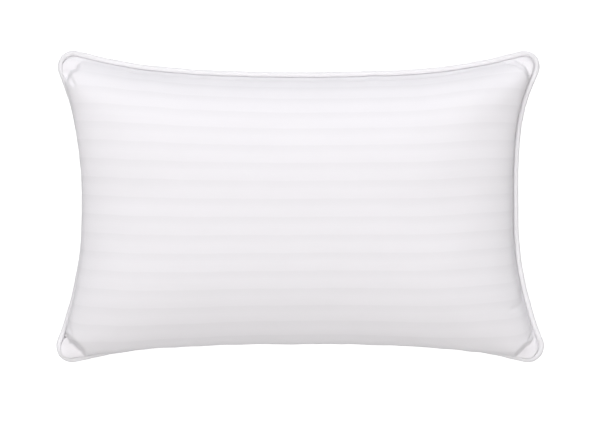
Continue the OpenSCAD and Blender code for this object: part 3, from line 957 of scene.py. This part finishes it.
def closing():
    """Hand slip stitches that close the fill opening, from the front panel to the piping."""
    heap = Bodies()
    edge_x = FRONT_S[:, 0, 0]
    col = np.arange(len(edge_x))
    ok = np.abs(edge_x) < 0.3
    for k, x in enumerate(np.arange(-0.146, 0.0707, 0.006)):
        x = x + 0.0006 * float(noise1(k * 0.77, 97))
        i = np.interp(x, edge_x[ok], col[ok])
        i0, w = int(i), i - int(i)
        strand = FRONT_S[i0, :46] * (1 - w) + FRONT_S[i0 + 1, :46] * w
        t = turn_at(x)
        p, n = seam_frame(np.array([t]))
        p, n = p[0], n[0]
        q = np.stack([(strand[:, :2] - p[:2]) @ n, strand[:, 2] - p[2]], 1)
        fine = np.stack([np.interp(np.linspace(0, len(q) - 1, 900), np.arange(len(q)), q[:, c]) for c in (0, 1)], 1)
        rel = fine - np.array([PIPE_N, 0])
        r = np.linalg.norm(rel, axis=1)
        near = np.where(r < PIPE_R + 0.0006)[0]
        a = near[-1] if len(near) else 0
        run = np.concatenate([[0], np.cumsum(np.linalg.norm(np.diff(fine, axis=0), axis=1))])
        b = min(int(np.searchsorted(run, run[a] + 0.0013)), len(fine) - 2)
        tan = fine[b + 1] - fine[b - 1]
        out = np.array([-tan[1], tan[0]]) / np.linalg.norm(tan)
        if out @ (np.array([PIPE_N, 0.0]) + np.array([0.01, 0.0]) - fine[b]) < 0:
            out = -out
        ang = math.atan2(rel[a, 1], rel[a, 0]) - 0.34
        foot = np.array([PIPE_N + math.cos(ang) * (PIPE_R + 0.00022), math.sin(ang) * (PIPE_R + 0.00022)])
        head = fine[b] + out * (CLOTH_T / 2 + 0.00010)
        mid = (foot + head) / 2 + (out + np.array([math.cos(ang), math.sin(ang)])) * 0.00010
        sink_p = np.array([PIPE_N + math.cos(ang - 0.12) * (PIPE_R - 0.0003), math.sin(ang - 0.12) * (PIPE_R - 0.0003)])
        sink_c = fine[b] - out * 0.0003 + (fine[b] - fine[a]) / max(np.linalg.norm(fine[b] - fine[a]), 1e-6) * 0.0003
        pts = np.array([sink_c, head, mid, foot, sink_p])
        along = np.array([-0.0009, -0.0007, 0.0, 0.0007, 0.0009])
        dense = np.linspace(0, 4, 13)
        pts = np.stack([np.interp(dense, range(5), pts[:, c]) for c in (0, 1)], 1)
        along = np.interp(dense, range(5), along)
        for _ in range(2):
            pts[1:-1] = (pts[:-2] + 2 * pts[1:-1] + pts[2:]) / 4
        heap.add(*tube(along_seam(t + along / QUART_LEN, pts[:, 0], pts[:, 1]), 0.00020, 7, s0=k * 0.01))
    v, f, a = heap.all()
    return make("slip_stitches", v, f, THREAD, a, "pillow", "closing_stitches")


# ------------------------------------------------------------------ fibre fill
def fill():
    """Loose fibre fill: follows both panels a little inside them, lumpy, and stops short of the seam allowance."""
    nu, nv = 150, 100
    keep = 0.955
    gx, gy = spaced(nu, 0.3), spaced(nv, 0.3)
    FX, FY = flat_grid(nu, nv, gx, gy)
    ii, jj = np.array(rim(nu, nv)).T
    turn = edge_turn(FX[ii, jj], FY[ii, jj])
    I = np.arange((nu + 1) * (nv + 1)).reshape(nu + 1, nv + 1)
    quads = np.stack([I[:-1, :-1], I[1:, :-1], I[1:, 1:], I[:-1, 1:]], -1).reshape(-1, 4)
    v, f, count, loops = [], [], 0, {}
    for side, G in ((1, FRONT), (-1, BACK)):
        S = cloth_at(G, WAY[side], (gx * keep + 1) / 2 * NX, (gy * keep + 1) / 2 * NY)
        N = normals_of(S) * side
        lump = 0.5 + 0.5 * noise2(FX / 0.045 + 60, FY / 0.045 + 60, 101 + side)
        lump += 0.35 * (0.5 + 0.5 * noise2(FX / 0.018 + 60, FY / 0.018 + 60, 103 + side))
        lump += 0.12 * (0.5 + 0.5 * noise2(FX / 0.007 + 90, FY / 0.007 + 90, 105 + side))
        S = S - N * (0.0026 + 0.0030 * lump)[..., None]
        if side > 0:
            S[..., 2] = cap_ears(S, FX, FY, edge_distance(FX, FY), 0.004)
        v.append(S.reshape(-1, 3))
        f.append((quads if side > 0 else quads[:, ::-1]) + count)
        ring = I[ii, jj] + count
        count += I.size
        row = count + np.arange(len(ring))
        v.append(along_seam(turn, -0.0138, side * 0.0026))
        count += len(ring)
        q = np.stack([np.roll(ring, -1), ring, row, np.roll(row, -1)], 1)
        f.append(q if side > 0 else q[:, ::-1])
        loops[side] = row
    mid = count + np.arange(len(ii))
    v.append(along_seam(turn, -0.0144, 0.0))
    f.append(np.stack([np.roll(loops[1], -1), loops[1], mid, np.roll(mid, -1)], 1))
    f.append(np.stack([np.roll(mid, -1), mid, loops[-1], np.roll(loops[-1], -1)], 1))
    v, f = np.concatenate(v), np.concatenate(f)
    ob = make("fill", v, f, down_fibre(), v, "pillow", "fibre_fill")
    print("fill", len(f) * 2, "z", v[:, 2].min().round(4), v[:, 2].max().round(4))
    return ob


# ------------------------------------------------------------------ care label
def label_place(x, y, z):
    """From the label's own axes (x along the hinge, y towards the pillow, z up) to the row frame."""
    c, s = math.cos(LABEL_TILT), math.sin(LABEL_TILT)
    return np.stack([LABEL_X + x * c - y * s, LABEL_Y + x * s + y * c, LABEL_Z + z], -1)


def label():
    """Blank ribbon folded over the hinge thread, its two halves hanging together."""
    r, drop, t = 0.00074, 0.0482, 0.00022
    k = 64
    z = np.linspace(0, -drop, k)
    w = -z / drop
    gap = r * (1 - smoothstep(0.02, 0.25, w)) + 0.00013 + 0.00025 * np.sin(w * math.pi)
    a = np.linspace(0, math.pi, 21)
    leg_y, leg_z = np.concatenate([-gap[::-1], -r * np.cos(a[1:-1]) , gap]), np.concatenate([z[::-1], r * np.sin(a[1:-1]), z])
    s = np.concatenate([[0], np.cumsum(np.hypot(np.diff(leg_y), np.diff(leg_z)))])
    cols = np.linspace(-0.018, 0.018, 37)
    X, Y = np.meshgrid(cols, leg_y, indexing="ij")
    _, Z = np.meshgrid(cols, leg_z, indexing="ij")
    _, Sg = np.meshgrid(cols, s, indexing="ij")
    W = np.clip(-Z / drop, 0, 1)
    Y = Y - 0.0012 * W ** 2 * np.sin(X / 0.036 * math.pi + 0.5) - 0.0008 * W ** 1.5 + 0.0003 * W * noise2(X / 0.012 + 20, Z / 0.015 + 20, 111)
    I = np.arange(X.size).reshape(X.shape)
    f = np.stack([I[:-1, :-1], I[1:, :-1], I[1:, 1:], I[:-1, 1:]], -1).reshape(-1, 4)
    v = label_place(X, Y, Z).reshape(-1, 3)
    v, f, attr = thicken(v, f, t, np.stack([X, Sg, 0 * X], -1).reshape(-1, 3))
    ob = make("care_label_ribbon", v, f, label_cloth(), attr, "label", "care_label")
    print("label strip", round(float(s[-1]), 4), "m; y", v[:, 1].min().round(4), v[:, 1].max().round(4))
    return ob


def label_bar():
    """Thread bar through the top of the label, both ends sewn up into the piping."""
    h = 0.0197
    turnr = 0.0011
    a = np.linspace(0, math.pi / 2, 8)
    left = [(-h, 0.0034), (-h, 0.0022)] + [(-h + turnr - turnr * math.cos(x), turnr - turnr * math.sin(x)) for x in a]
    right = [(-x, z) for x, z in left[::-1]]
    mid = [(x, 0.0) for x in np.linspace(left[-1][0], right[0][0], 60)[1:-1]]
    p = np.array(left + mid + right)
    path = label_place(p[:, 0], np.zeros(len(p)), p[:, 1])
    heap = Bodies()
    heap.add(*tube(path, 0.00042, 18, twist=2600.0, wobble=lambda a, s: 0.86 + 0.14 * np.abs(np.cos(1.5 * a))))
    for x in (-h, h):
        w = np.linspace(0, 1, 60)
        ang = w * 2 * math.pi * 4
        coil = label_place(x + 0.00052 * np.cos(ang), 0.00052 * np.sin(ang), 0.0011 + 0.0013 * w)
        heap.add(*tube(coil, 0.00013, 6))
    v, f, at = heap.all()
    return make("label_bar", v, f, THREAD, at, "pillow", "label_stitches")


THREAD = sewing_thread()
seam_threads()
overlock()
closing()
fill()
label_bar()
label()


# ------------------------------------------------------------------ floor, light and camera
def studio():
    sc = bpy.context.scene
    me = bpy.data.meshes.new("floor")
    w = 60.0
    me.from_pydata([(-w, -w, 0), (w, -w, 0), (w, w, 0), (-w, w, 0)], [], [(0, 1, 2, 3)])
    floor = bpy.data.objects.new("floor", me)
    sc.collection.objects.link(floor)
    m = Nodes("studio_floor")
    p = m.node("ShaderNodeTexCoord", out=3)
    grain = m.noise(p, 3.0, 2.0)
    m.finish(m.mix(grain, rgba(0.41, 0.41, 0.41), rgba(0.43, 0.43, 0.43)), 0.9, grain, 0.0002, 0.1, specular=0.1)
    m.skin.inputs["Emission Color"].default_value = rgba(1, 1, 1)
    m.put(m.skin.inputs["Emission Strength"], m.spread(m.node("ShaderNodeLightPath", out=0), 0, 1, *FLOOR_GLOW))
    me.materials.append(m.material)

    world = sc.world or bpy.data.worlds.new("world")
    sc.world = world
    world.use_nodes = True
    bg = world.node_tree.nodes.get("Background") or world.node_tree.nodes.new("ShaderNodeBackground")
    out = world.node_tree.nodes.get("World Output") or world.node_tree.nodes.new("ShaderNodeOutputWorld")
    world.node_tree.links.new(bg.outputs[0], out.inputs[0])
    # the studio walls: as pale as the floor where they meet it, darker above
    tree = world.node_tree
    co, parts = tree.nodes.new("ShaderNodeTexCoord"), tree.nodes.new("ShaderNodeSeparateXYZ")
    fade = tree.nodes.new("ShaderNodeMapRange")
    fade.interpolation_type = "SMOOTHSTEP"
    fade.inputs["From Min"].default_value, fade.inputs["From Max"].default_value = 0.04, 0.17
    fade.inputs["To Min"].default_value, fade.inputs["To Max"].default_value = WALL, WORLD
    tree.links.new(co.outputs["Generated"], parts.inputs[0])
    tree.links.new(parts.outputs["Z"], fade.inputs["Value"])
    tree.links.new(fade.outputs[0], bg.inputs[1])
    bg.inputs[0].default_value = rgba(*WORLD_TINT)

    for name, way, strength, angle, tint in LIGHTS:
        data = bpy.data.lights.new(name, "SUN")
        data.color = tint
        data.energy, data.angle = strength, math.radians(angle)
        ob = bpy.data.objects.new(name, data)
        ob.rotation_euler = Vector(way).to_track_quat("Z", "Y").to_euler()
        sc.collection.objects.link(ob)

    cam = bpy.data.cameras.new("camera")
    cam.sensor_width = 36.0
    reach = 6.0
    cam.lens = cam.sensor_width * reach / 0.924
    cam.clip_start, cam.clip_end = 0.1, 100.0
    eye = bpy.data.objects.new("camera", cam)
    eye.location = (0.0, -0.0085, SEAM_Z + reach)
    eye.rotation_euler = (0, 0, 0)
    sc.collection.objects.link(eye)
    sc.camera = eye
    sc.view_settings.view_transform = "Standard"
    sc.view_settings.look = "None"
    sc.view_settings.exposure = 0.0
    sc.view_settings.gamma = 1.0


FLOOR_GLOW = (0.32, 0.78)       # onto the pillow, and as seen: the photo has a clean white ground
WORLD, WALL, WORLD_TINT = 0.08, 1.06, (1.0, 1.0, 1.0)
LIGHTS = [
    ("key", (-0.070, 0.845, 0.530), 1.52, 60, (0.985, 1.0, 1.035)),
    ("overhead", (-0.015, -0.140, 0.990), 2.48, 60, (1.012, 1.0, 0.99)),
]
studio()

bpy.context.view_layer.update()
print("scene", round(time.time() - T0, 1), "s")
